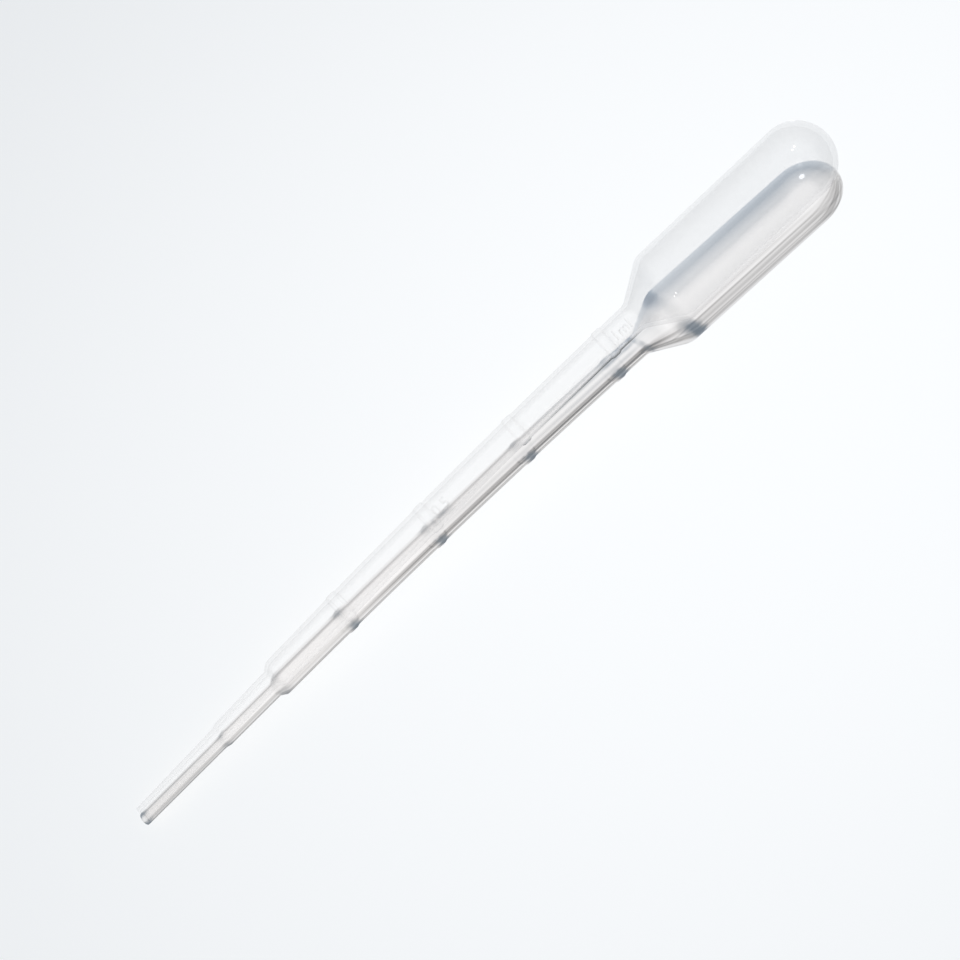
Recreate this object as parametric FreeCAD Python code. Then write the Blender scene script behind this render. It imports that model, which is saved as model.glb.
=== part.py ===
import FreeCAD, Part
import math
import os

# Plastic dropper (transfer) pipette, blow-moulded in one piece.
# Units are mm. A station is a length along the pipette's own axis, from
# the tip's end towards the bulb. The finished part lies at rest: it
# touches the table under the tip's end and under the bulb's shoulder.

# ---- stations and lengths along the axis ----
TOTAL_LENGTH = 155.0
STEP_1_START = 18.0
STEP_1_LENGTH = 0.9
STEP_2_START = 30.35
STEP_2_LENGTH = 1.2
SHOULDER_START = 112.8
SHOULDER_LENGTH = 6.5

# ---- outer radii ----
TIP_R = 1.38
NECK_R = 1.66
STEM_R = 2.55
BULB_R_START = 6.75
BULB_R_END = 6.62

# ---- bores and walls ----
TIP_BORE_R = 0.75
NECK_BORE_R = 1.00
STEM_WALL = 0.60
SHOULDER_WALL_END = 0.75
BULB_WALL_END = 0.60
DOME_WALL = 1.00

# ---- rounding ----
TIP_EDGE = 0.12
STEP_2_EDGE_R = 0.50
SHOULDER_FOOT_R = 2.0
SHOULDER_TOP_R = 3.0

# ---- raised graduation bands round the stem, 0.25 ml apart ----
MARK_TO_SHOULDER = 6.15
MARK_PITCH = 20.0
MARK_COUNT = 4
MARK_WIDTH = 2.0
MARK_TOP_WIDTH = 1.3
MARK_RELIEF = 0.20
MARK_ROOT = 0.10

# ---- the slight bow of the stem, straight for a little at both ends ----
BOW_DEG = 3.6
BOW_LEAD = 0.95

# ---- dependent values ----
STEP_1_END = STEP_1_START + STEP_1_LENGTH
STEP_2_END = STEP_2_START + STEP_2_LENGTH
BOW_START = STEP_2_END + BOW_LEAD
BOW_END = SHOULDER_START - BOW_LEAD
BOW_LENGTH = BOW_END - BOW_START
BOW_RADIUS = BOW_LENGTH / math.radians(BOW_DEG)
SHOULDER_END = SHOULDER_START + SHOULDER_LENGTH
MARK_LAST = SHOULDER_START - MARK_TO_SHOULDER
DOME_START = TOTAL_LENGTH - BULB_R_END
STEM_BORE_R = STEM_R - STEM_WALL
SHOULDER_BORE_START = SHOULDER_START + STEM_WALL / 2
SHOULDER_BORE_END = SHOULDER_END + STEM_WALL
SHOULDER_BORE_R = BULB_R_START - SHOULDER_WALL_END
BULB_BORE_R = BULB_R_END - BULB_WALL_END
DOME_BORE_START = DOME_START - (DOME_WALL - BULB_WALL_END)

AXIS_X = FreeCAD.Vector(1, 0, 0)
AXIS_Y = FreeCAD.Vector(0, 1, 0)
AXIS_Z = FreeCAD.Vector(0, 0, 1)
ORIGIN = FreeCAD.Vector(0, 0, 0)
BOW_CENTRE = FreeCAD.Vector(BOW_START, -BOW_RADIUS, 0)


def at(station, radius):
    """A point of a half section, which hangs below the axis."""
    return FreeCAD.Vector(station, 0, -radius)


def line(start, end):
    """A straight edge."""
    return Part.LineSegment(start, end).toShape()


def rounding(before, peak, after, radius):
    """Centre, first, middle and last point of the arc that rounds a corner."""
    back = (before - peak).normalize()
    ahead = (after - peak).normalize()
    half = back.getAngle(ahead) / 2
    leg = radius / math.tan(half)
    bisector = (back + ahead).normalize()
    centre = peak + bisector * (radius / math.sin(half))
    return centre, peak + back * leg, centre - bisector * radius, peak + ahead * leg


def half_section(points):
    """Edges through (point, rounding radius) pairs; 0 leaves a corner sharp."""
    edges = []
    here = points[0][0]
    for i in range(1, len(points)):
        peak, radius = points[i]
        if radius > 0:
            after = points[i + 1][0]
            centre, first, middle, last = rounding(here, peak, after, radius)
            edges.append(line(here, first))
            edges.append(Part.Arc(first, middle, last).toShape())
            here = last
        else:
            edges.append(line(here, peak))
            here = peak
    return edges


def dome(station, radius):
    """A quarter circle from the wall down to the axis."""
    slope = math.sqrt(0.5)
    middle = at(station + radius * slope, radius * slope)
    return Part.Arc(at(station, radius), middle, at(station + radius, 0)).toShape()


def turned(edges, start, end, end_radius):
    """Close a half section along the axis and turn it into a solid."""
    foot = at(start.x, 0)
    if end_radius > 0:
        edges.append(line(at(end, end_radius), at(end, 0)))
    edges.append(line(at(end, 0), foot))
    edges.append(line(foot, start))
    face = Part.Face(Part.Wire(Part.__sortEdges__(edges)))
    return face.revolve(ORIGIN, AXIS_X, 360)


def tip_outside():
    """Tip, first step, neck and second step, as far as the bow."""
    start = at(0, TIP_R - TIP_EDGE)
    points = [
        (start, 0),
        (at(TIP_EDGE, TIP_R), 0),
        (at(STEP_1_START, TIP_R), 0),
        (at(STEP_1_END, NECK_R), 0),
        (at(STEP_2_START, NECK_R), STEP_2_EDGE_R),
        (at(STEP_2_END, STEM_R), STEP_2_EDGE_R),
        (at(BOW_START, STEM_R), 0),
    ]
    return turned(half_section(points), start, BOW_START, STEM_R)


def tip_bore():
    """The bore through the tip and the neck."""
    start = at(0, TIP_BORE_R)
    points = [
        (start, 0),
        (at(STEP_1_START, TIP_BORE_R), 0),
        (at(STEP_1_END, NECK_BORE_R), 0),
        (at(STEP_2_START, NECK_BORE_R), 0),
        (at(STEP_2_END, STEM_BORE_R), 0),
        (at(BOW_START, STEM_BORE_R), 0),
    ]
    return turned(half_section(points), start, BOW_START, STEM_BORE_R)


def bowed_rod(radius):
    """A round rod along the bow."""
    rim = Part.Circle(at(BOW_START, 0), AXIS_X, radius).toShape()
    disc = Part.Face(Part.Wire(rim))
    return disc.revolve(BOW_CENTRE, AXIS_Z, -BOW_DEG)


def on_bow(shape, station):
    """Carry what was made straight at a station to its place on the bow."""
    past = station - BOW_START
    shape.translate(AXIS_X * -past)
    shape.rotate(BOW_CENTRE, AXIS_Z, -math.degrees(past / BOW_RADIUS))
    return shape


def bulb_outside():
    """Shoulder, bulb and dome outside."""
    start = at(BOW_END, STEM_R)
    points = [
        (start, 0),
        (at(SHOULDER_START, STEM_R), SHOULDER_FOOT_R),
        (at(SHOULDER_END, BULB_R_START), SHOULDER_TOP_R),
        (at(DOME_START, BULB_R_END), 0),
    ]
    edges = half_section(points)
    edges.append(dome(DOME_START, BULB_R_END))
    return on_bow(turned(edges, start, TOTAL_LENGTH, 0), BOW_END)


def bulb_cavity():
    """The hollow of the shoulder, bulb and dome."""
    start = at(BOW_END, STEM_BORE_R)
    points = [
        (start, 0),
        (at(SHOULDER_BORE_START, STEM_BORE_R), SHOULDER_FOOT_R),
        (at(SHOULDER_BORE_END, SHOULDER_BORE_R), SHOULDER_TOP_R),
        (at(DOME_BORE_START, BULB_BORE_R), 0),
    ]
    edges = half_section(points)
    edges.append(dome(DOME_BORE_START, BULB_BORE_R))
    return on_bow(turned(edges, start, DOME_BORE_START + BULB_BORE_R, 0), BOW_END)


def mark(station):
    """One raised graduation band, rooted a little way into the wall."""
    half_crest = MARK_TOP_WIDTH / 2
    flank = (MARK_WIDTH - MARK_TOP_WIDTH) / 2 / MARK_RELIEF
    half_root = half_crest + flank * (MARK_RELIEF + MARK_ROOT)
    root = STEM_R - MARK_ROOT
    crest = STEM_R + MARK_RELIEF
    corners = [
        at(station - half_root, root),
        at(station - half_crest, crest),
        at(station + half_crest, crest),
        at(station + half_root, root),
        at(station - half_root, root),
    ]
    band = Part.Face(Part.makePolygon(corners)).revolve(ORIGIN, AXIS_X, 360)
    return on_bow(band, station)


def pipette():
    """The whole moulding: outside less the hollow."""
    outside = [bowed_rod(STEM_R), bulb_outside()]
    for i in range(MARK_COUNT):
        outside.append(mark(MARK_LAST - i * MARK_PITCH))
    body = tip_outside().multiFuse(outside)
    hollow = tip_bore().multiFuse([bowed_rod(STEM_BORE_R), bulb_cavity()])
    return body.cut(hollow)


def shoulder_contact():
    """Where the arc at the bulb's shoulder is centred, out from the axis."""
    foot = at(SHOULDER_START, STEM_R)
    peak = at(SHOULDER_END, BULB_R_START)
    after = at(DOME_START, BULB_R_END)
    return rounding(foot, peak, after, SHOULDER_TOP_R)[0]


def lie_angle():
    """How far the bulb's end is lifted, in degrees, at rest on the table."""
    contact = shoulder_contact()
    foot = on_bow(Part.Vertex(at(contact.x, 0)), BOW_END)
    foot.rotate(ORIGIN, AXIS_Z, BOW_DEG / 2)
    reach = foot.Point.x - TIP_EDGE * math.cos(math.radians(BOW_DEG / 2))
    rise = abs(contact.z) - TIP_R
    span = math.hypot(reach, rise)
    return math.degrees(math.atan2(rise, reach) + math.asin(SHOULDER_TOP_R / span))


def lie_down(shape):
    """Half the bow to each side of X, resting on tip and shoulder."""
    shape.rotate(ORIGIN, AXIS_Z, BOW_DEG / 2)
    shape.rotate(ORIGIN, AXIS_Y, -lie_angle())
    return shape


def footprint(shape):
    """The middle of the shape's footprint, at its lowest point."""
    box = shape.optimalBoundingBox(False, False)
    return FreeCAD.Vector(box.Center.x, box.Center.y, box.ZMin)


os.makedirs("parts", exist_ok=True)
part = lie_down(pipette())
base = footprint(part)
part.translate(-base)
part.exportStep("parts/pipette.step")

# ---- printed as a check: size, weight and where the tip's axis lies ----
tip_axis = lie_down(Part.LineSegment(ORIGIN, AXIS_X * STEP_1_START).toShape())
tip_axis.translate(-base)
tip_end = tip_axis.Vertexes[0].Point
tip_top = tip_axis.Vertexes[1].Point
out_of_tip = (tip_end - tip_top).normalize()
box = part.optimalBoundingBox(False, False)
print("solids", len(part.Solids), "valid", part.isValid())
print("volume mm3", round(part.Volume, 1), "lie deg", round(lie_angle(), 3))
print("size mm", round(box.XLength, 2), round(box.YLength, 2), round(box.ZLength, 2))
print("tip end m", [round(v / 1000, 7) for v in tip_end])
print("out of the tip", [round(v, 6) for v in out_of_tip])
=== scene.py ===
"""Plastic dropper pipette, one blow-moulded piece of clear plastic, lying on a pale table."""

import logging
import math
from collections.abc import Mapping
from dataclasses import dataclass, field
from enum import Enum
from functools import cached_property
from typing import Any

import bmesh
import bpy
from mathutils import Matrix, Vector

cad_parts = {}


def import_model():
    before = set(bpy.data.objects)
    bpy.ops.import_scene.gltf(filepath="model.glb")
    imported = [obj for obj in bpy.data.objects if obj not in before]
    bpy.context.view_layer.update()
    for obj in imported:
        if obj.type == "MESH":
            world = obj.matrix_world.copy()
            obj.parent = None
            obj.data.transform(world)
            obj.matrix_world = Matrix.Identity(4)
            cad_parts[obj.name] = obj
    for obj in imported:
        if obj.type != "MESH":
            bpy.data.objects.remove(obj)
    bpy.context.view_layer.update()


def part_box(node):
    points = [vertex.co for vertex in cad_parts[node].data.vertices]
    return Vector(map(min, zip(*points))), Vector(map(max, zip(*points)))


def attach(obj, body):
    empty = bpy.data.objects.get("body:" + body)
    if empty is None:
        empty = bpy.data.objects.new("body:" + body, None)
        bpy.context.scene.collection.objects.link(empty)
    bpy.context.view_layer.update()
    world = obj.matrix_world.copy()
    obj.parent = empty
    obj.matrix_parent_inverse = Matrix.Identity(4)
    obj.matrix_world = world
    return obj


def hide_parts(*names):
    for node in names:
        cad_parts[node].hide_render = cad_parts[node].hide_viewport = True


LOG = logging.getLogger("pipette")
MM = 0.001
FULL_TURN = 2.0 * math.pi
# Tolerances in mm, and how finely each kind of rounding is cut.
MERGE = 1e-4
CUT_TOLERANCE = 1e-5
EDGE_ON = 1e-6
DOME_SEGMENTS = 24
SHOULDER_SEGMENTS = 12
BAND_SEGMENTS = 4
EDGE_SEGMENTS = 3

Colour = tuple[float, float, float]
Point = tuple[float, float, float]
Span = tuple[float, float]
Stops = tuple[tuple[float, float], ...]


def linked(name: str, data: bpy.types.ID) -> bpy.types.Object:
    """Make an object and put it in the scene."""
    made = bpy.data.objects.new(name, data)
    bpy.context.scene.collection.objects.link(made)
    return made


# ---------------------------------------------------------------- shader maths


class Ray(Enum):
    """Kinds of light path that a surface may treat in its own way."""

    CAMERA = "Is Camera Ray"
    SHADOW = "Is Shadow Ray"
    DIFFUSE = "Is Diffuse Ray"
    GLOSSY = "Is Glossy Ray"
    TRANSMISSION = "Is Transmission Ray"


class Wire:
    """A node's output that ordinary arithmetic works on."""

    def __init__(self, paint: "Paint", socket: bpy.types.NodeSocket) -> None:
        """Hold the socket and the node tree it belongs to."""
        self.paint = paint
        self.socket = socket

    def __add__(self, other: "Wire | float") -> "Wire":
        """Sum."""
        return self.paint.maths("ADD", self, other)

    def __radd__(self, other: float) -> "Wire":
        """Sum, with the number first."""
        return self.paint.maths("ADD", other, self)

    def __sub__(self, other: "Wire | float") -> "Wire":
        """Difference."""
        return self.paint.maths("SUBTRACT", self, other)

    def __rsub__(self, other: float) -> "Wire":
        """Difference, with the number first."""
        return self.paint.maths("SUBTRACT", other, self)

    def __mul__(self, other: "Wire | float") -> "Wire":
        """Product."""
        return self.paint.maths("MULTIPLY", self, other)

    def __rmul__(self, other: float) -> "Wire":
        """Product, with the number first."""
        return self.paint.maths("MULTIPLY", other, self)


class Paint:
    """The look of one material or world, built node by node."""

    def __init__(self, owner: bpy.types.Material | bpy.types.World) -> None:
        """Start with no nodes.

        Args:
            owner: The material or world that is built.
        """
        owner.use_nodes = True
        self.owner = owner
        self.tree = owner.node_tree
        self.tree.nodes.clear()

    def node(
        self,
        kind: str,
        settings: Mapping[str, Any] | None = None,
        inputs: Mapping[str | int, Any] | None = None,
    ) -> bpy.types.Node:
        """Add one node.

        Args:
            kind: The node's type.
            settings: Properties set first, such as an operation.
            inputs: Values or wires for the node's sockets, by name or number.

        Returns:
            The new node.
        """
        made = self.tree.nodes.new(kind)
        for name, value in (settings or {}).items():
            setattr(made, name, value)
        for name, value in (inputs or {}).items():
            source = value.socket if isinstance(value, Wire) else value
            if isinstance(source, bpy.types.NodeSocket):
                self.tree.links.new(source, made.inputs[name])
            else:
                made.inputs[name].default_value = source
        return made

    def value(
        self,
        kind: str,
        settings: Mapping[str, Any] | None = None,
        inputs: Mapping[str | int, Any] | None = None,
        output: str | int = 0,
    ) -> Wire:
        """Add one node and give one of its outputs, by name or number."""
        return Wire(self, self.node(kind, settings, inputs).outputs[output])

    def maths(self, operation: str, first: "Wire | float", second: "Wire | float") -> Wire:
        """Combine two values by one operation."""
        return self.value("ShaderNodeMath", {"operation": operation}, {0: first, 1: second})

    def ray(self, kind: Ray) -> Wire:
        """Give 1 for one kind of light path and 0 for the rest."""
        return self.value("ShaderNodeLightPath", output=kind.value)

    def attribute(self, name: str, output: str = "Fac") -> Wire:
        """Read a value kept on the mesh."""
        return self.value("ShaderNodeAttribute", {"attribute_name": name}, output=output)

    def facing(self) -> Wire:
        """How far the surface is turned away: 0 seen face on, 1 seen edge on."""
        return self.value("ShaderNodeLayerWeight", None, {"Blend": 0.5}, "Facing")

    def ramp(self, value: Wire, stops: Stops) -> Wire:
        """Bend a value along a ramp of greys.

        Args:
            value: What is bent.
            stops: Places along the ramp, each with its level.

        Returns:
            The bent value.
        """
        made = self.node("ShaderNodeValToRGB", None, {"Fac": value})
        elements = made.color_ramp.elements
        while len(elements) < len(stops):
            elements.new(1.0)
        for element, (place, level) in zip(elements, stops, strict=True):
            element.position = place
            element.color = (level, level, level, 1.0)
        return Wire(self, made.outputs["Color"])

    def clear(self, colour: Colour) -> Wire:
        """Add a shader that a share of each colour passes straight through."""
        return self.value("ShaderNodeBsdfTransparent", None, {"Color": (*colour, 1.0)})

    def lit(self, colour: Colour, strength: float) -> Wire:
        """Add a shader that gives off light."""
        inputs = {"Color": (*colour, 1.0), "Strength": strength}
        return self.value("ShaderNodeEmission", None, inputs)

    def backdrop(self, colour: Colour) -> Wire:
        """Add a shader for what lies all round."""
        return self.value("ShaderNodeBackground", None, {"Color": (*colour, 1.0)})

    def mix(self, share: Wire, first: Wire, second: Wire) -> Wire:
        """Mix two shaders by the share of the second."""
        return self.value("ShaderNodeMixShader", None, {0: share, 1: first, 2: second})

    def finish(self, shader: Wire) -> bpy.types.Material | bpy.types.World:
        """Join a shader to the output.

        Args:
            shader: What is shown.

        Returns:
            The finished material or world.
        """
        world = isinstance(self.owner, bpy.types.World)
        kind = "ShaderNodeOutputWorld" if world else "ShaderNodeOutputMaterial"
        self.node(kind, None, {"Surface": shader})
        return self.owner


# ---------------------------------------------------------------- finishes


@dataclass(frozen=True)
class ClearPlastic:
    """Thin, faintly milky polyethylene, drawn lengthwise in the mould.

    Light from a lamp passes through, less where the wall holds it back. Light from all
    round passes too, and gains a painted glow that the wall's flanks give off sideways,
    though they are no lamp. Any other ray sees a glossy skin, with painted shade on the
    stem's lower edge. The wall's own vertices say how much of each: see WallLight.

    Attributes:
        lit_through: Share of a lamp's light that a face lets through.
        sky_through: Share of the light from all round that a face lets through.
        held_back: Share that passes where a lamp's light is held back.
        held_far: The same where the shadow is cool.
        streak_scale: Flow lines to a metre, along and across.
        streak_depth: How much the flow lines change what is held back.
        flow_height: Height of their relief, in m.
        near_middle: How much of them shows in the middle of the moulding.
        near_slope: How fast that falls towards the far side, to a metre.
        held_stops: What is held back, by how far the wall turns from the lamp.
        rim_stops: How milky the wall is, by how far it turns from the eye.
        shaded: Colour of the painted shade on the stem's lower edge.
        dark_stops: How dark that painted shade is, by how far the wall turns from the eye.
    """

    milk: Colour = (0.73, 0.725, 0.73)
    # painted shade: a dark colour laid on the stem's lower edge, where the shadow shows through
    # the wall
    shaded: Colour = (0.10, 0.11, 0.12)
    roughness: float = 0.10
    ior: float = 1.50
    lit_through: Colour = (0.993, 0.986, 0.982)
    sky_through: Colour = (0.996, 0.993, 0.991)
    held_back: Colour = (0.10, 0.055, 0.01)
    held_far: Colour = (0.02, 0.14, 0.27)
    # painted glow: the flanks give off this light for rays from the table, though they are no lamp
    thrown: Colour = (1.0, 0.85, 0.70)
    thrown_strength: float = 2.1
    streak_scale: Point = (14.0, 4600.0, 4600.0)
    streak_depth: float = 0.38
    streak_edges: Stops = ((0.42, 0.0), (0.58, 1.0))
    flow_strength: float = 0.1
    flow_height: float = 0.00002
    near_middle: float = 0.72
    near_slope: float = 330.0
    held_stops: Stops = (
        (0.055, 0.0),
        (0.13, 0.15),
        (0.29, 0.24),
        (0.41, 0.34),
        (0.60, 0.26),
        (1.0, 0.16),
    )
    rim_stops: Stops = ((0.07, 0.0), (0.20, 0.055), (0.40, 0.10), (0.80, 0.15), (1.0, 0.25))
    dark_stops: Stops = ((0.36, 0.0), (0.56, 1.0))
    dark_depth: float = 0.85

    def streaks(self, paint: Paint) -> Wire:
        """Flow lines that run the length of the moulding.

        Args:
            paint: The material being built.

        Returns:
            From 0 to 1, about a half on average.
        """
        drawn = paint.value(
            "ShaderNodeVectorMath",
            {"operation": "MULTIPLY"},
            {0: paint.attribute("drawn", "Vector"), 1: self.streak_scale},
        )
        inputs = {"Vector": drawn, "Scale": 1.0, "Detail": 2.0, "Roughness": 0.6}
        lines = paint.value("ShaderNodeTexNoise", None, inputs, "Fac")
        return paint.ramp(lines, self.streak_edges)

    def near(self, paint: Paint) -> Wire:
        """Give about 1 on the camera's side, falling to about 0 at the far side."""
        drawn = {0: paint.attribute("drawn", "Vector")}
        across = paint.value("ShaderNodeSeparateXYZ", None, drawn, "Y")
        return self.near_middle - across * self.near_slope

    def held(self, paint: Paint, streaks: Wire) -> Wire:
        """How much of a lamp's light the wall keeps from the table.

        Args:
            paint: The material being built.
            streaks: The flow lines, which are stronger on the camera's side.

        Returns:
            From 0, none, to 1, all of it.
        """
        grazing = paint.ramp(paint.facing(), self.held_stops)
        uneven = 1.0 + (streaks * 2.0 - 1.0) * (self.near(paint) * self.streak_depth)
        heft = paint.attribute("heft")
        return grazing * heft * uneven + paint.attribute("swell")

    def skin(self, paint: Paint, streaks: Wire) -> Wire:
        """What is seen of the wall: a thin glossy skin, milkier where it is looked along, and
        darkened by painted shade on the stem's lower edge.

        Args:
            paint: The material being built.
            streaks: The flow lines.

        Returns:
            The shader.
        """
        facing = paint.facing()
        edges = paint.ramp(facing, self.rim_stops) * paint.attribute("rim")
        # painted shade: where "shade" is set, the base colour turns to the dark shaded colour and
        # the edges grow less clear
        shade = paint.attribute("shade")
        dark = paint.ramp(facing, self.dark_stops) * shade * self.dark_depth
        colours = {0: shade, 6: (*self.milk, 1.0), 7: (*self.shaded, 1.0)}
        flow = {"Strength": self.flow_strength, "Distance": self.flow_height, "Height": streaks}
        inputs = {
            "Base Color": paint.value("ShaderNodeMix", {"data_type": "RGBA"}, colours, 2),
            "Roughness": self.roughness,
            "IOR": self.ior,
            "Alpha": edges + dark + paint.attribute("haze"),
            "Normal": paint.value("ShaderNodeBump", None, flow),
        }
        return paint.value("ShaderNodeBsdfPrincipled", None, inputs)

    def lamp_side(self, paint: Paint, streaks: Wire) -> Wire:
        """What rays towards a lamp meet.

        Args:
            paint: The material being built.
            streaks: The flow lines.

        Returns:
            The shader.
        """
        cool = paint.attribute("cool")
        held = paint.mix(cool, paint.clear(self.held_back), paint.clear(self.held_far))
        return paint.mix(self.held(paint, streaks), paint.clear(self.lit_through), held)

    def table_side(self, paint: Paint) -> Wire:
        """What rays scattered by the table meet: clear wall, with a painted glow on its flanks."""
        # painted glow: an emission that lights the table beside the pipette, though the wall is no
        # lamp
        thrown = paint.lit(self.thrown, self.thrown_strength)
        return paint.mix(paint.attribute("glow"), paint.clear(self.sky_through), thrown)

    def material(self) -> bpy.types.Material:
        """Make the material.

        Returns:
            A clear skin that lets lamps through, less where it holds their light back.
        """
        paint = Paint(bpy.data.materials.new("clear_plastic"))
        streaks = self.streaks(paint)
        lamp_side = self.lamp_side(paint, streaks)
        skin = self.skin(paint, streaks)
        seen = paint.mix(paint.ray(Ray.DIFFUSE), skin, self.table_side(paint))
        made = paint.finish(paint.mix(paint.ray(Ray.SHADOW), seen, lamp_side))
        # the painted glow is not sampled as a lamp
        made.cycles.emission_sampling = "NONE"
        return made


@dataclass(frozen=True)
class TableTop:
    """Smooth pale laminate."""

    colour: Colour = (0.90, 0.905, 0.91)

    def material(self) -> bpy.types.Material:
        """Make the material.

        Returns:
            A matt pale surface.
        """
        paint = Paint(bpy.data.materials.new("table_top"))
        face = paint.value("ShaderNodeBsdfDiffuse", None, {"Color": (*self.colour, 1.0)})
        return paint.finish(face)


# ---------------------------------------------------------------- the moulding


@dataclass(frozen=True)
class Corner:
    """A corner of the half section: where it is, and the radius it is rounded to, in mm."""

    station: float
    radius: float
    rounding: float = 0.0
    segments: int = 6


def bound(value: float) -> float:
    """Keep a value between 0 and 1."""
    return min(max(value, 0.0), 1.0)


def ease(value: float, start: float, end: float) -> float:
    """Rise smoothly from 0 at the start to 1 at the end, which may be the smaller."""
    share = bound((value - start) / (end - start))
    return share * share * (3.0 - 2.0 * share)


def ridge(value: float, middle: float, reach: float) -> float:
    """Fall straight from 1 in the middle to 0 at the reach on both sides."""
    return max(1.0 - abs(value - middle) / reach, 0.0)


def between(start: float, end: float, share: float) -> float:
    """Go from the start, at a share of 0, to the end, at a share of 1."""
    return start + (end - start) * share


@dataclass(frozen=True)
class Place:
    """A place on the wall of the straight moulding.

    Attributes:
        point: Where it is, in mm.
        side: How far round it is: -1 at the camera's side, 1 at the far side.
        under: How far round it is: -1 on top, 1 underneath.
        blown: From 0 on the stem to 1 on the bulb.
    """

    point: Vector
    side: float
    under: float
    blown: float


@dataclass(frozen=True)
class Amount:
    """How much there is of something along the moulding.

    Attributes:
        share: How much.
        stations: Stations between which it sets in, in mm; None for the whole length.
    """

    share: float
    stations: Span | None = None

    def at(self, place: Place) -> float:
        """How much there is at one place."""
        return self.share * (1.0 if self.stations is None else ease(place.point.x, *self.stations))


@dataclass(frozen=True)
class Stripe:
    """A stripe along the wall that holds back more of a lamp's light, or less.

    Attributes:
        rise: Sides between which it sets in.
        fall: Sides between which it ends; None if it runs on to the edge.
        amounts: How much more it holds back.
        drift: How far it moves towards the far side.
    """

    rise: Span
    fall: Span | None
    amounts: tuple[Amount, ...]
    drift: Amount = Amount(0.0)

    def at(self, place: Place) -> float:
        """How much more is held back at one place."""
        side = place.side - self.drift.at(place)
        across = ease(side, *self.rise)
        if self.fall is not None:
            across *= 1.0 - ease(side, *self.fall)
        return across * sum(amount.at(place) for amount in self.amounts)


@dataclass(frozen=True)
class Line:
    """A thin stripe, strongest in its middle.

    Attributes:
        side: Its middle.
        reach: How far it reaches to either side.
        amounts: How much more it holds back.
    """

    side: float
    reach: float
    amounts: tuple[Amount, ...]

    def at(self, place: Place) -> float:
        """How much more is held back at one place."""
        across = ridge(place.side, self.side, self.reach)
        return across * sum(amount.at(place) for amount in self.amounts)


@dataclass(frozen=True)
class Swell:
    """A ring of the wall that holds back more of a lamp's light. Lengths are in mm.

    Attributes:
        station: Its middle.
        reach: How far it reaches to either side.
        amount: How much more it holds back at its sides.
        overhead: Share of that on top and underneath.
        near: Share on the camera's side.
        far: Share on the far side.
        lean: How far it leans along the axis from side to side.
        slant: How far it leans from top to bottom, which is the key lamp's slope.
        flank: How far round it the amount grows from overhead to whole.
    """

    station: float
    reach: float
    amount: float
    overhead: float = 0.0
    near: float = 1.0
    far: float = 1.0
    lean: float = 0.0
    slant: float = 0.304
    flank: Span = (0.12, 0.70)

    def at(self, place: Place) -> float:
        """How much more is held back at one place.

        Args:
            place: A place on the outer face.

        Returns:
            The share of the light.
        """
        side = place.side
        along = place.point.x + self.lean * side - self.slant * place.point.z
        off = min(abs(along - self.station) / self.reach, 1.0)
        share = between(self.overhead, 1.0, ease(abs(side), *self.flank))
        return self.amount * (1.0 - off**3) * share * (self.far if side > 0.0 else self.near)


@dataclass(frozen=True)
class Numeral:
    """Raised figures beside a band, read from the tip's end. Lengths are in mm.

    Attributes:
        station: Where they begin along the axis.
        turn: How far from the top they stand round the stem, in degrees.
        relief: How far they stand out of the stem.
        root: How far they reach into it.
        run: Longest flat run across the stem.
        rim: How milky their edges are, against the wall's.
        strokes: How many upright strokes throw a shadow.
        stroke_amount: How much of a lamp's light a stroke holds back.
    """

    name: str
    text: str
    station: float
    turn: float = 39.0
    size: float = 2.6
    relief: float = 0.12
    root: float = 0.04
    edge: float = 0.07
    run: float = 0.25
    rim: float = 4.0
    strokes: int = 4
    stroke_pitch: float = 1.2
    stroke_reach: float = 0.35
    stroke_amount: float = 0.3

    def swells(self) -> list[Swell]:
        """The strokes as the stem's wall feels them: more light held back on the far side."""
        starts = [self.station + self.stroke_pitch * i for i in range(self.strokes)]
        return [Swell(at, self.stroke_reach, self.stroke_amount, near=0.0) for at in starts]

    def flat(self) -> bmesh.types.BMesh:
        """Cut the figures as a flat plate, fine enough to be wrapped round the stem.

        Returns:
            The plate: x along the stem, y across it from the figures' middle, z out of it.
        """
        letters = bpy.data.curves.new(self.name, "FONT")
        letters.body = self.text
        letters.size = self.size
        letters.bevel_depth = self.edge
        letters.bevel_resolution = 2
        letters.offset = -self.edge
        letters.extrude = (self.relief + self.root) / 2.0 - self.edge
        holder = linked(self.name, letters)
        evaluated = holder.evaluated_get(bpy.context.evaluated_depsgraph_get())
        plate = bpy.data.meshes.new_from_object(evaluated)
        bm = bmesh.new()
        bm.from_mesh(plate)
        bpy.data.objects.remove(holder)
        bpy.data.curves.remove(letters)
        bpy.data.meshes.remove(plate)
        bmesh.ops.remove_doubles(bm, verts=bm.verts, dist=MERGE)
        bmesh.ops.recalc_face_normals(bm, faces=bm.faces)
        lift = (self.relief - self.root) / 2.0
        height = max(vert.co.y for vert in bm.verts)
        bmesh.ops.translate(bm, verts=bm.verts, vec=(0.0, -height / 2.0, lift))
        for i in range(1, int(height / self.run)):
            self.slit(bm, i * self.run - height / 2.0)
        return bm

    @staticmethod
    def slit(bm: bmesh.types.BMesh, height: float) -> None:
        """Cut every face that crosses a height."""
        whole = [*bm.verts, *bm.edges, *bm.faces]
        level = {"plane_co": (0.0, height, 0.0), "plane_no": (0.0, 1.0, 0.0)}
        bmesh.ops.bisect_plane(bm, geom=whole, dist=CUT_TOLERANCE, **level)


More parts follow.
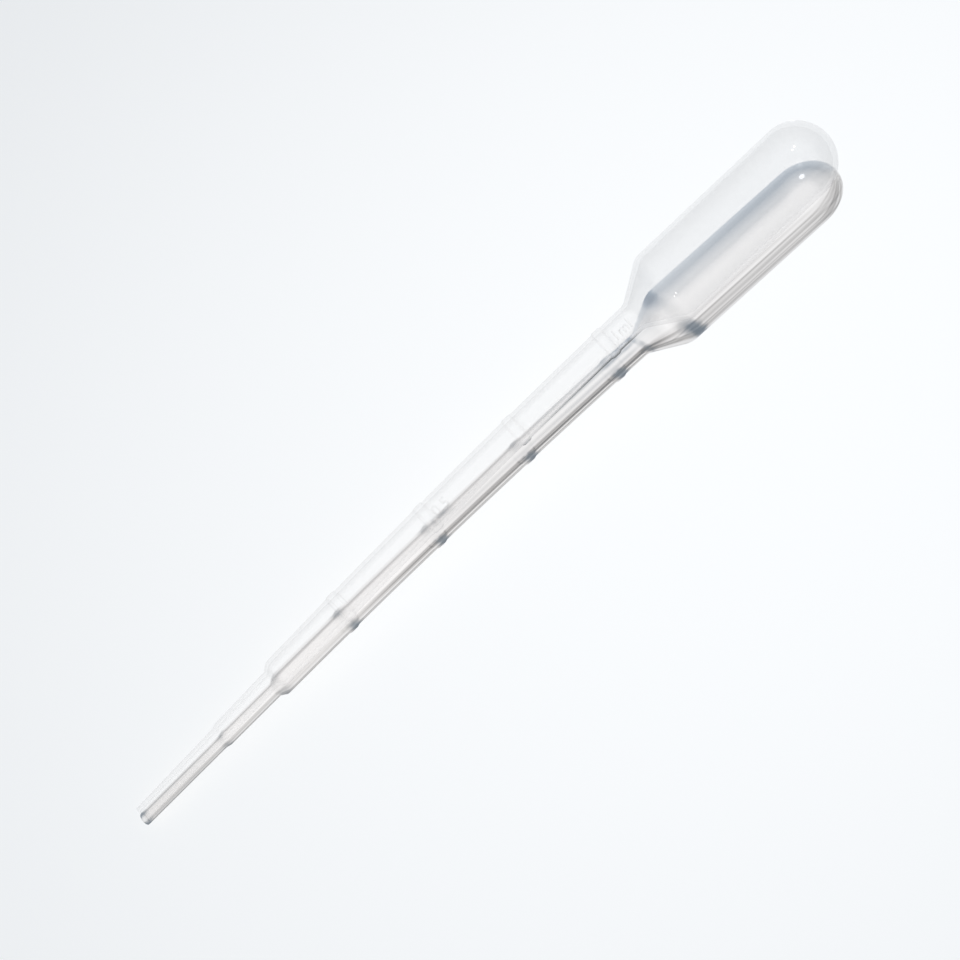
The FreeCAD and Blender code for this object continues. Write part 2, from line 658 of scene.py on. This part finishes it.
@dataclass
class Pipette:
    """The whole moulding. Sizes are in mm; a station is a length along the axis from the tip."""

    total_length: float = 154.984
    step_1: Span = (18.0, 18.9)
    step_2: Span = (30.35, 31.55)
    shoulder: Span = (112.8, 119.3)
    tip_radius: float = 1.38
    neck_radius: float = 1.66
    stem_radius: float = 2.55
    bulb_radius: Span = (6.738, 6.608)
    tip_bore: float = 0.75
    neck_bore: float = 1.00
    stem_wall: float = 0.60
    shoulder_wall: float = 0.75
    bulb_wall: float = 0.60
    dome_wall: float = 1.00
    tip_edge: float = 0.12
    step_1_edge: float = 0.25
    step_2_edge: float = 0.50
    bore_edge: float = 0.30
    shoulder_foot: float = 2.0
    shoulder_top: float = 3.0
    pole_flat: float = 0.03
    mark_last: float = 106.65
    mark_pitch: float = 20.0
    mark_count: int = 4
    mark_width: float = 2.0
    mark_crest: float = 1.3
    mark_relief: float = 0.20
    mark_foot_edge: float = 0.5
    mark_crest_edge: float = 0.6
    mark_lead: float = 0.2
    bow_degrees: float = 3.6
    bow_lead: float = 0.95
    spin_steps: int = 120
    longest_run: float = 1.0
    finish: ClearPlastic = field(default_factory=ClearPlastic)
    numerals: tuple[Numeral, ...] = (
        Numeral("figures_half", "0.5", 67.95),
        Numeral("figures_one", "1ml", 107.95),
    )
    plastic: bpy.types.Material | None = None
    shift: Vector = field(default_factory=Vector)

    @property
    def crown(self) -> float:
        """Station where the dome begins."""
        return self.total_length - self.bulb_radius[1]

    @property
    def bow_start(self) -> float:
        """Station where the bow begins."""
        return self.step_2[1] + self.bow_lead

    @property
    def bow_length(self) -> float:
        """Length of the bow along the axis."""
        return self.shoulder[0] - self.bow_lead - self.bow_start

    @property
    def bow_radius(self) -> float:
        """Radius of the bow."""
        return self.bow_length / math.radians(self.bow_degrees)

    def outside(self) -> list[Corner]:
        """Corners of the outer face, from the bulb's crown to the tip.

        Returns:
            The corners in order.
        """
        foot, top = self.shoulder
        dome = self.bulb_radius[1] - self.pole_flat
        corners = [
            Corner(self.total_length, 0.0),
            Corner(self.total_length, dome, dome - self.pole_flat, DOME_SEGMENTS),
            Corner(top, self.bulb_radius[0], self.shoulder_top, SHOULDER_SEGMENTS),
            Corner(foot, self.stem_radius, self.shoulder_foot, SHOULDER_SEGMENTS),
        ]
        for mark in self.marks():
            corners += self.band(mark)
        corners += [
            Corner(self.step_2[1], self.stem_radius, self.step_2_edge),
            Corner(self.step_2[0], self.neck_radius, self.step_2_edge),
            Corner(self.step_1[1], self.neck_radius, self.step_1_edge, EDGE_SEGMENTS),
            Corner(self.step_1[0], self.tip_radius, self.step_1_edge, EDGE_SEGMENTS),
            Corner(0.0, self.tip_radius, self.tip_edge, EDGE_SEGMENTS),
        ]
        return corners

    def band(self, station: float) -> list[Corner]:
        """Corners of one raised graduation band.

        Args:
            station: The band's middle.

        Returns:
            Its corners, from the bulb's side, with plain wall at both ends.
        """
        foot, crest = self.mark_width / 2, self.mark_crest / 2
        wall, top = self.stem_radius, self.stem_radius + self.mark_relief
        return [
            Corner(station + foot + self.mark_lead, wall),
            Corner(station + foot, wall, self.mark_foot_edge, BAND_SEGMENTS),
            Corner(station + crest, top, self.mark_crest_edge, BAND_SEGMENTS),
            Corner(station - crest, top, self.mark_crest_edge, BAND_SEGMENTS),
            Corner(station - foot, wall, self.mark_foot_edge, BAND_SEGMENTS),
            Corner(station - foot - self.mark_lead, wall),
        ]

    def inside(self) -> list[Corner]:
        """Corners of the hollow, from the tip to the bulb's crown.

        Returns:
            The corners in order.
        """
        stem_bore = self.stem_radius - self.stem_wall
        bulb_bore = self.bulb_radius[1] - self.bulb_wall
        shoulder_bore = self.bulb_radius[0] - self.shoulder_wall
        foot = self.shoulder[0] + self.stem_wall / 2
        top = self.shoulder[1] + self.stem_wall
        pole = self.total_length - self.dome_wall
        return [
            Corner(0.0, self.tip_bore),
            Corner(self.step_1[0], self.tip_bore, self.step_1_edge, EDGE_SEGMENTS),
            Corner(self.step_1[1], self.neck_bore, self.step_1_edge, EDGE_SEGMENTS),
            Corner(self.step_2[0], self.neck_bore, self.bore_edge, EDGE_SEGMENTS),
            Corner(self.step_2[1], stem_bore, self.bore_edge, EDGE_SEGMENTS),
            Corner(foot, stem_bore, self.shoulder_foot, SHOULDER_SEGMENTS),
            Corner(top, shoulder_bore, self.shoulder_top, SHOULDER_SEGMENTS),
            Corner(pole, bulb_bore, bulb_bore, DOME_SEGMENTS),
            Corner(pole, 0.0),
        ]

    def half_section(self, bm: bmesh.types.BMesh) -> None:
        """Draw the wall's half section as a chain of edges, with its corners rounded.

        Args:
            bm: The mesh it is drawn in.
        """
        corners = self.outside() + self.inside()
        points = [bm.verts.new((c.station, 0.0, c.radius)) for c in corners]
        for first, second in zip(points, points[1:], strict=False):
            bm.edges.new((first, second))
        legs = [
            self.leg(corners[i - 1], corner, corners[i + 1]) if corner.rounding else 0.0
            for i, corner in enumerate(corners)
        ]
        for point, leg, corner in zip(points, legs, corners, strict=True):
            if leg > 0.0:
                bmesh.ops.bevel(
                    bm,
                    geom=[point],
                    offset=leg,
                    offset_type="OFFSET",
                    segments=corner.segments,
                    profile=0.5,
                    affect="VERTICES",
                    material=-1,
                    clamp_overlap=False,
                )
        for edge in list(bm.edges):
            cuts = int(edge.calc_length() / self.longest_run)
            if cuts > 0:
                bmesh.ops.subdivide_edges(bm, edges=[edge], cuts=cuts)

    @staticmethod
    def leg(before: Corner, corner: Corner, after: Corner) -> float:
        """How far from a corner its rounding begins.

        Args:
            before: The corner before it.
            corner: The corner.
            after: The corner after it.

        Returns:
            The length along either side, in mm.
        """
        back = Vector((before.station - corner.station, before.radius - corner.radius))
        ahead = Vector((after.station - corner.station, after.radius - corner.radius))
        return corner.rounding / math.tan(back.angle(ahead) / 2.0)

    def bowed(self, point: Vector) -> Vector:
        """Carry a point of the straight moulding to its place on the bow.

        Args:
            point: A point of the straight moulding.

        Returns:
            Its place once the stem is bowed.
        """
        past = point.x - self.bow_start
        turn = min(max(past, 0.0), self.bow_length) / self.bow_radius
        centre = Vector((self.bow_start, -self.bow_radius, 0.0))
        arm = Vector((past - turn * self.bow_radius, self.bow_radius + point.y, point.z))
        return centre + Matrix.Rotation(-turn, 3, "Z") @ arm

    def lie_angle(self) -> float:
        """How far the bulb's end is lifted when the pipette lies on the table.

        Returns:
            The angle in radians.
        """
        foot = Corner(self.shoulder[0], self.stem_radius)
        peak = Corner(self.shoulder[1], self.bulb_radius[0], self.shoulder_top)
        crown = Corner(self.total_length, self.bulb_radius[1])
        leg = self.leg(foot, peak, crown)
        slope = Vector((crown.station - peak.station, crown.radius - peak.radius)).normalized()
        centre = Vector((peak.station, peak.radius)) + slope * leg
        centre += Vector((slope.y, -slope.x)) * self.shoulder_top
        contact = self.bowed(Vector((centre.x, 0.0, 0.0)))
        half_bow = math.radians(self.bow_degrees / 2)
        contact.rotate(Matrix.Rotation(half_bow, 3, "Z"))
        reach = contact.x - self.tip_edge * math.cos(half_bow)
        rise = centre.y - self.tip_radius
        span = math.hypot(reach, rise)
        return math.atan2(rise, reach) + math.asin(self.shoulder_top / span)

    def marks(self) -> list[float]:
        """Stations of the graduation bands, from the bulb's side."""
        return [self.mark_last - i * self.mark_pitch for i in range(self.mark_count)]

    def lie_down(self, bm: bmesh.types.BMesh) -> None:
        """Bow what was made straight and lay it down, its tip at the origin.

        Args:
            bm: The straight mesh, in mm.
        """
        for vert in bm.verts:
            vert.co = self.bowed(vert.co)
        turned = Matrix.Rotation(-self.lie_angle(), 4, "Y") @ Matrix.Rotation(
            math.radians(self.bow_degrees / 2), 4, "Z"
        )
        bmesh.ops.transform(bm, matrix=Matrix.Scale(MM, 4) @ turned, verts=bm.verts)

    @staticmethod
    def offset(bm: bmesh.types.BMesh) -> Vector:
        """Measure how far the moulding is from where the frame has it.

        Args:
            bm: The moulding, lying down.

        Returns:
            The way it still has to go.
        """
        low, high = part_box("pipette")
        mine_low = Vector([min(v.co[i] for v in bm.verts) for i in range(3)])
        mine_high = Vector([max(v.co[i] for v in bm.verts) for i in range(3)])
        shift = (low + high - mine_low - mine_high) / 2.0
        shift.z = low.z - mine_low.z
        return shift

    def dress(self, bm: bmesh.types.BMesh, name: str) -> bpy.types.Object:
        """Put a finished mesh in place as a piece of the clear plastic.

        Args:
            bm: The mesh, lying down; it is used up.
            name: The piece's name.

        Returns:
            The piece.
        """
        bmesh.ops.translate(bm, verts=bm.verts, vec=self.shift)
        for face in bm.faces:
            face.smooth = True
        mesh = bpy.data.meshes.new(name)
        bm.to_mesh(mesh)
        bm.free()
        mesh.materials.append(self.plastic)
        piece = linked(name, mesh)
        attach(piece, "root")
        return piece

    def wall(self) -> bpy.types.Object:
        """Make the moulding itself.

        Returns:
            The piece.
        """
        bm = bmesh.new()
        self.half_section(bm)
        bmesh.ops.spin(
            bm,
            geom=list(bm.verts) + list(bm.edges),
            cent=(0.0, 0.0, 0.0),
            axis=(1.0, 0.0, 0.0),
            angle=FULL_TURN,
            steps=self.spin_steps,
            use_merge=True,
        )
        bmesh.ops.remove_doubles(bm, verts=bm.verts, dist=MERGE)
        bmesh.ops.recalc_face_normals(bm, faces=bm.faces)
        bm.normal_update()
        WallLight(self).grade(bm)
        self.lie_down(bm)
        self.shift = self.offset(bm)
        piece = self.dress(bm, "pipette_wall")
        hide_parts("pipette")
        return piece

    def figures(self, numeral: Numeral) -> bpy.types.Object:
        """Raise one set of figures on the stem.

        Args:
            numeral: What they say and where they stand.

        Returns:
            The piece.
        """
        bm = numeral.flat()
        drawn = bm.verts.layers.float_vector.new("drawn")
        rim = bm.verts.layers.float.new("rim")
        for vert in bm.verts:
            out = self.stem_radius + vert.co.z
            turn = math.radians(numeral.turn) - vert.co.y / self.stem_radius
            vert.co = (numeral.station + vert.co.x, -out * math.sin(turn), out * math.cos(turn))
            vert[drawn] = vert.co * MM
            vert[rim] = numeral.rim
        self.lie_down(bm)
        return self.dress(bm, numeral.name)

    def build(self) -> list[bpy.types.Object]:
        """Make the moulding and the figures that stand on it."""
        self.plastic = self.finish.material()
        return [self.wall()] + [self.figures(numeral) for numeral in self.numerals]


# ---------------------------------------------------------------- how the wall treats light


@dataclass(frozen=True)
class WallLight:
    """What each place of the wall does to light, kept on its vertices for ClearPlastic.

    "drawn" is where the flow lines are read. "rim" and "haze" are how milky the edges
    and the whole wall look, and "shade" is how much painted shade darkens its lower edge.
    "heft" and "swell" are how much of a lamp's light is held back, and "cool" is how blue
    that leaves the shadow. "glow" is how much painted glow the flanks give off sideways.

    Attributes:
        drawn_depth: Where the flow lines are read, as a share of the stem's radius.
        blown_length: Length over which the stem's values turn into the bulb's, in mm.
        inner_rim: Rim of the inner face, on the stem and on the bulb; outer_rim likewise.
        dome_rim: Where the dome's rim is the stem's again, from its beginning, in mm.
        band_edge: Where a band's edge is from its middle, and its reach, in mm.
        shade_lead: How far before a band the painted shade sets in, in mm.
        shade_end: How far before the shoulder it begins to end, in mm.
        band_reach: Where a band's own painted shade ends and where it is whole, in mm.
        full_lead: How far after the second step the stem's stripes begin to change, in mm.
        line_drift: How far the stem's far line moves between two bands.
        bulb_stripes: What the bulb holds back more than bulb_heft, or less.
        core_stripes: What the middle of the stem holds back more, towards the bulb.
        core_end: Where that ends, from the shoulder, in mm.
        band_far: Shares of the bands' rings on the far side, from the last band.
        band_flank: How far round they grow whole.
        cool_slope: How much bluer the far side's shadow is than the middle's.
        cool_tip: Share of it near the tip.
        cool_swell: How blue a ring leaves the shadow.
        glow: Painted glow of the camera's side and of the far side.
        glow_under: How far underneath it ends, and how far it is whole.
    """

    shape: Pipette
    drawn_depth: float = 0.8
    blown_length: float = 6.0
    inner_rim: Span = (0.6, 0.25)
    outer_rim: Span = (1.0, 0.7)
    dome_rim: Span = (4.0, -2.0)
    haze: tuple[Amount, ...] = (
        Amount(0.02),
        Amount(0.022, (40.0, 100.0)),
        Amount(0.032, (111.0, 115.0)),
    )
    band_haze: float = 0.08
    band_edge: Span = (0.85, 0.25)
    shade_lead: float = 3.0
    shade_end: float = 3.5
    shade_side: Span = (-0.45, -0.75)
    shade_under: Span = (-0.2, 0.4)
    band_shade: float = 0.6
    band_reach: Span = (1.1, 0.6)
    full_lead: float = 8.0
    line_drift: float = 0.28
    stem_heft: float = 0.29
    bulb_heft: float = 1.0
    bulb_stripes: tuple[Stripe | Line, ...] = (
        Stripe((0.0, 0.6), None, (Amount(0.10), Amount(0.45, (122.0, 146.0)))),
        Stripe((-0.3, -0.7), None, (Amount(0.35, (146.0, 151.0)),)),
        Stripe((-0.02, -0.2), (-0.38, -0.5), (Amount(-0.5),)),
        Line(-0.53, 0.055, (Amount(-1.0),)),
        Line(-0.59, 0.05, (Amount(0.7),)),
        Stripe((-0.58, -0.66), (-0.74, -0.82), (Amount(-0.20),)),
        Stripe((-0.80, -0.88), None, (Amount(0.38),)),
    )
    core_stripes: tuple[Stripe | Line, ...] = (
        Stripe((-0.40, -0.25), (0.35, 0.55), (Amount(0.05, (58.0, 76.0)),)),
        Line(-0.08, 0.24, (Amount(0.14, (58.0, 76.0)), Amount(0.06, (84.0, 100.0)))),
        Line(0.44, 0.16, (Amount(0.20, (84.0, 100.0)),)),
    )
    core_end: Span = (0.5, -1.5)
    band_far: tuple[float, ...] = (0.4, 0.45, 0.45, 0.6)
    band_flank: tuple[float, ...] = (0.5, 0.8, 0.8, 0.8)
    cool_middle: float = 0.28
    cool_slope: float = 0.67
    cool_tip: float = 0.1
    cool_stations: Span = (80.0, 120.0)
    cool_swell: float = 0.8
    glow: Span = (0.2, 0.12)
    glow_side: Span = (0.75, 0.95)
    glow_under: Span = (0.6, 0.1)
    glow_bulb: float = 0.2

    @cached_property
    def stem_stripes(self) -> tuple[Stripe, ...]:
        """What the stem holds back more: a line, the near edge and a far line that drifts."""
        last, _, third, _ = self.shape.marks()
        slim = (self.shape.step_2[1], self.shape.step_2[0])
        full = (self.shape.step_2[1] + self.full_lead, third)
        late = (78.0, 92.0)
        line = (Amount(0.68), Amount(0.50, slim), Amount(1.70, full), Amount(0.45, late))
        edge = (Amount(1.60), Amount(0.10, slim), Amount(-0.25, full))
        far = (Amount(0.92), Amount(-0.15, full))
        return (
            Stripe((-0.26, -0.42), (-0.64, -0.76), line),
            Stripe((-0.77, -0.86), None, edge),
            Stripe((0.52, 0.66), (0.74, 0.86), far, Amount(self.line_drift, (third, last))),
        )

    @cached_property
    def rings(self) -> tuple[Swell, ...]:
        """Where the wall is heavier: the tip, both steps, the shoulder, bands and figures."""
        shape = self.shape
        foot, top = shape.shoulder
        return (
            Swell(0.0, 0.8, 0.55, 0.15),
            Swell(0.0, shape.step_1[1], 0.08, 1.0),
            Swell(sum(shape.step_1) / 2, 1.0, 0.25, 0.2),
            Swell(sum(shape.step_2) / 2 + 0.3, 1.2, 0.22, 0.3, far=0.6),
            Swell(foot, 0.45, 0.30, 0.8, lean=0.9),
            Swell(top - 0.1, 1.3, 0.60, 0.14, far=0.0, lean=2.2),
            Swell(top + 0.4, 1.5, 0.42, near=0.0, lean=1.1, flank=(0.40, 0.95)),
            Swell(top + 1.3, 0.9, 0.10, 1.0, near=0.3, lean=1.75),
            *(
                Swell(mark, 1.1, 0.56, 0.04, far=far, lean=0.8, flank=(0.08, whole))
                for mark, far, whole in zip(
                    shape.marks(), self.band_far, self.band_flank, strict=True
                )
            ),
            *(swell for numeral in shape.numerals for swell in numeral.swells()),
        )

    def grade(self, bm: bmesh.types.BMesh) -> None:
        """Write the values of every place of the wall.

        Args:
            bm: The straight moulding, in mm, with its normals.
        """
        drawn = bm.verts.layers.float_vector.new("drawn")
        names = ("heft", "swell", "cool", "haze", "glow", "rim", "shade")
        layers = {name: bm.verts.layers.float.new(name) for name in names}
        for vert in bm.verts:
            place = self.place(vert.co)
            vert[drawn] = self.drawn(place)
            core = Vector((min(vert.co.x, self.shape.crown), 0.0, 0.0))
            outer = vert.normal.dot(vert.co - core) > -EDGE_ON
            for name, value in (self.outer if outer else self.inner)(place).items():
                vert[layers[name]] = value

    def place(self, point: Vector) -> Place:
        """Say where on the wall a point of the straight moulding is."""
        out = Vector((0.0, point.y, point.z)).normalized()
        blown = (point.x - self.shape.shoulder[0]) / self.blown_length
        return Place(point, out.y, -out.z, bound(blown))

    def drawn(self, place: Place) -> Vector:
        """Where the flow lines are read: on the bulb, where its wall was before it was blown.

        Args:
            place: A place on the wall.

        Returns:
            The point, in m.
        """
        axis, radius = Vector((place.point.x, 0.0, 0.0)), self.shape.stem_radius
        out = place.point - axis
        fade = min(out.length / radius, 1.0) if place.point.x > self.shape.crown else 1.0
        return (axis + out.normalized() * (radius * fade * self.drawn_depth)) * MM

    def inner(self, place: Place) -> dict[str, float]:
        """Values of the inner face at one place."""
        return {"rim": between(*self.inner_rim, place.blown), "haze": self.milk(place)}

    def outer(self, place: Place) -> dict[str, float]:
        """Values of the outer face.

        Args:
            place: A place on it.

        Returns:
            The values by name.
        """
        start, end = (self.shape.crown + length for length in self.dome_rim)
        bulb = place.blown * ease(place.point.x, start, end)
        swell = sum(ring.at(place) for ring in self.rings) + self.core(place)
        return {
            "rim": between(*self.outer_rim, bulb),
            "haze": self.milk(place),
            "shade": self.shade(place),
            "heft": self.heft(place),
            "swell": swell,
            "cool": self.cool(place, swell),
            "glow": self.thrown(place),
        }

    def milk(self, place: Place) -> float:
        """How milky the wall looks at one place: more so at the edges of the bands."""
        edge = min(abs(place.point.x - mark) for mark in self.shape.marks())
        milk = sum(amount.at(place) for amount in self.haze)
        return milk + self.band_haze * ridge(edge, *self.band_edge)

    def shade(self, place: Place) -> float:
        """How much painted shade darkens the stem's lower edge near the bulb and at the bands.

        Args:
            place: A place on the outer face.

        Returns:
            From 0 to 1.
        """
        station, foot = place.point.x, self.shape.shoulder[0]
        last, before = self.shape.marks()[:2]
        along = ease(station, before - self.shade_lead, last - self.shade_lead)
        along *= ease(station, foot, foot - self.shade_end)
        band = ease(min(abs(station - last), abs(station - before)), *self.band_reach)
        # painted shade lies only on the camera's side, underneath
        lower = ease(place.side, *self.shade_side) * ease(place.under, *self.shade_under)
        return max(along, self.band_shade * band) * lower

    def heft(self, place: Place) -> float:
        """How much of a lamp's light is held back where the wall runs along the light."""
        stem = self.stem_heft + sum(stripe.at(place) for stripe in self.stem_stripes)
        bulb = self.bulb_heft + sum(stripe.at(place) for stripe in self.bulb_stripes)
        return between(stem, bulb, place.blown)

    def core(self, place: Place) -> float:
        """How much more of a lamp's light the middle of the stem holds back."""
        start, end = (self.shape.shoulder[0] + length for length in self.core_end)
        return ease(place.point.x, start, end) * sum(s.at(place) for s in self.core_stripes)

    def cool(self, place: Place, swell: float) -> float:
        """How blue the shadow is: more on the far side, towards the bulb and under a ring."""
        far = bound(self.cool_middle + self.cool_slope * place.side)
        far *= between(self.cool_tip, 1.0, ease(place.point.x, *self.cool_stations))
        return 1.0 - (1.0 - far) * (1.0 - bound(self.cool_swell * swell))

    def thrown(self, place: Place) -> float:
        """How much painted glow the flanks give off sideways at one place of the outer face."""
        flank = ease(abs(place.side), *self.glow_side) * ease(place.under, *self.glow_under)
        most = self.glow[0] if place.side < 0.0 else self.glow[1]
        return most * flank * between(1.0, self.glow_bulb, place.blown)


# ---------------------------------------------------------------- studio


@dataclass
class Studio:
    """Table, lamps, surroundings and camera: in m and degrees, the camera's lens in mm."""

    table_half: float = 3.0
    key_travel: Point = (-0.304, -0.001, -1.0)
    key_strength: float = 2.25
    key_angle: float = 1.0
    key_colour: Colour = (1.0, 0.988, 0.975)
    pool_middle: Point = (0.050, -0.020, 0.0)
    pool_half: float = 0.205
    pool_distance: float = 12.0
    pool_power: float = 1400.0
    pool_blend: float = 1.0
    focus_middle: Point = (0.0708, 0.0027, 0.0)
    focus_spread: float = 1.0
    focus_distance: float = 0.065
    focus_power: float = 0.2
    focus_blend: float = 0.6
    fill: Colour = (0.168, 0.197, 0.225)
    walls: Colour = (0.86, 0.88, 0.90)
    aim: Point = (-0.000657, 0.002855, 0.0)
    camera_distance: float = 0.5265
    camera_elevation: float = 53.15
    camera_azimuth: float = 2.018
    camera_roll: float = 45.04
    focal_length: float = 121.9
    sensor_width: float = 36.0
    clip: Span = (0.01, 50.0)

    def table(self) -> None:
        """Lay the table."""
        bm = bmesh.new()
        bmesh.ops.create_grid(bm, x_segments=1, y_segments=1, size=self.table_half)
        mesh = bpy.data.meshes.new("table_top")
        bm.to_mesh(mesh)
        bm.free()
        top = linked("table_top", mesh)
        mesh.materials.append(TableTop().material())

    def hang(self, lamp: bpy.types.Light, foot: Point, distance: float) -> bpy.types.Object:
        """Hang a lamp that shines the key lamp's way.

        Args:
            lamp: The lamp.
            foot: Where its middle ray lands.
            distance: How far away it hangs.

        Returns:
            The lamp's object.
        """
        lamp.color = self.key_colour
        travel = Vector(self.key_travel)
        held = linked(lamp.name, lamp)
        held.rotation_mode = "QUATERNION"
        held.rotation_quaternion = travel.to_track_quat("-Z", "Y")
        held.location = Vector(foot) - travel.normalized() * distance
        return held

    def key_lamp(self) -> None:
        """Hang the key lamp, which shines from the bulb's end."""
        lamp = bpy.data.lights.new("key", "SUN")
        lamp.energy = self.key_strength
        lamp.angle = math.radians(self.key_angle)
        self.hang(lamp, (0.0, 0.0, 0.0), 1.0)

    def spot(self, lamp: bpy.types.SpotLight, foot: Point, distance: float) -> None:
        """Hang a spot that nothing mirrors.

        Args:
            lamp: The spot.
            foot: Where its middle ray lands.
            distance: How far away it hangs.
        """
        held = self.hang(lamp, foot, distance)
        held.visible_glossy = False
        held.visible_transmission = False

    def pool_lamp(self) -> None:
        """Hang a far spot along the key's own line, so the light fades towards the edges."""
        lamp = bpy.data.lights.new("pool", "SPOT")
        lamp.energy = self.pool_power
        lamp.spot_size = 2.0 * math.atan(self.pool_half / self.pool_distance)
        lamp.spot_blend = self.pool_blend
        lamp.shadow_soft_size = self.pool_distance * math.tan(math.radians(self.key_angle / 2.0))
        self.spot(lamp, self.pool_middle, self.pool_distance)

    def focus_lamp(self) -> None:
        """Hang a tiny spot where the dome gathers the key lamp's light on the table."""
        lamp = bpy.data.lights.new("focus", "SPOT")
        lamp.energy = self.focus_power
        lamp.spot_size = math.radians(self.focus_spread)
        lamp.spot_blend = self.focus_blend
        lamp.shadow_soft_size = 0.0
        self.spot(lamp, self.focus_middle, self.focus_distance)

    def surroundings(self) -> None:
        """Fill the shadows from all round; what is seen or mirrored is paler walls."""
        paint = Paint(bpy.data.worlds.new("surroundings"))
        seen = paint.ray(Ray.CAMERA) + paint.ray(Ray.GLOSSY) + paint.ray(Ray.TRANSMISSION)
        both = paint.mix(seen, paint.backdrop(self.fill), paint.backdrop(self.walls))
        bpy.context.scene.world = paint.finish(both)
        bpy.context.scene.view_settings.view_transform = "Standard"

    def camera(self) -> None:
        """Set up the camera."""
        lens = bpy.data.cameras.new("camera")
        lens.lens = self.focal_length
        lens.sensor_width = self.sensor_width
        lens.clip_start, lens.clip_end = self.clip
        held = linked("camera", lens)
        up, round_about = math.radians(self.camera_elevation), math.radians(self.camera_azimuth)
        away = Vector((math.sin(round_about), -math.cos(round_about), 0.0))
        back = away * math.cos(up) + Vector((0.0, 0.0, math.sin(up)))
        level = Vector((math.cos(round_about), math.sin(round_about), 0.0))
        rise = back.cross(level)
        roll = math.radians(self.camera_roll)
        right = level * math.cos(roll) - rise * math.sin(roll)
        top = level * math.sin(roll) + rise * math.cos(roll)
        turn = Matrix((right, top, back)).transposed()
        held.rotation_mode = "QUATERNION"
        held.rotation_quaternion = turn.to_quaternion()
        held.location = Vector(self.aim) + back * self.camera_distance
        bpy.context.scene.camera = held

    def build(self) -> None:
        """Set up everything round the pipette."""
        self.table()
        self.key_lamp()
        self.pool_lamp()
        self.focus_lamp()
        self.surroundings()
        self.camera()


def main() -> None:
    """Build the pipette and the studio round it, and log how many faces each piece has."""
    logging.basicConfig(level=logging.INFO, format="%(name)s: %(message)s")
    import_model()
    for piece in Pipette().build():
        LOG.info("%s has %d faces", piece.name, len(piece.data.polygons))
    Studio().build()


if __name__ == "__main__":
    main()
